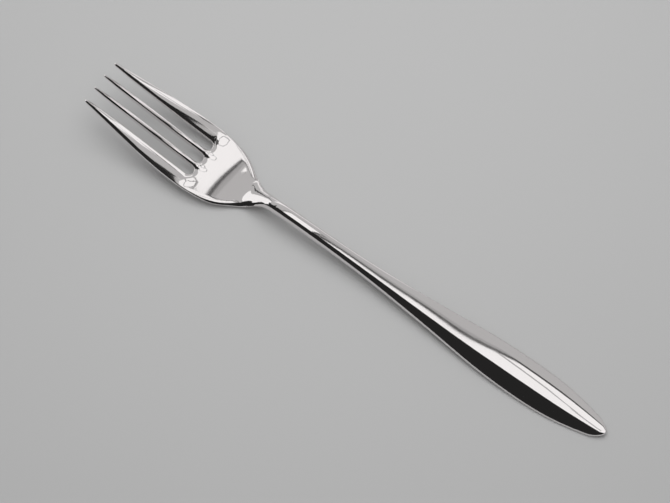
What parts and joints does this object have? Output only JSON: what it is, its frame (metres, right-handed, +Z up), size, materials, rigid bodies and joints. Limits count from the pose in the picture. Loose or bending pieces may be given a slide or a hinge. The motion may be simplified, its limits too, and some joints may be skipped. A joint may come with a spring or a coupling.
{
  "type": "dinner fork",
  "caption": "One-piece mirror-polished dinner fork with tapered tines, a dished bowl, a slim arched neck and a crowned leaf-shaped handle.",
  "frame": {"origin": "on the table, under the middle of the fork's length and width, lying with its tines up", "axes": "+X from the tips of the tines toward the end of the handle, +Y across the fork, +Z up from the table"},
  "size_m": [0.205, 0.0248, 0.0151],
  "materials": {
    "polished_steel": "mirror-polished stainless steel, not plated"
  },
  "bodies": {
    "root": {"fork": "polished_steel"}
  },
  "joints": []
}
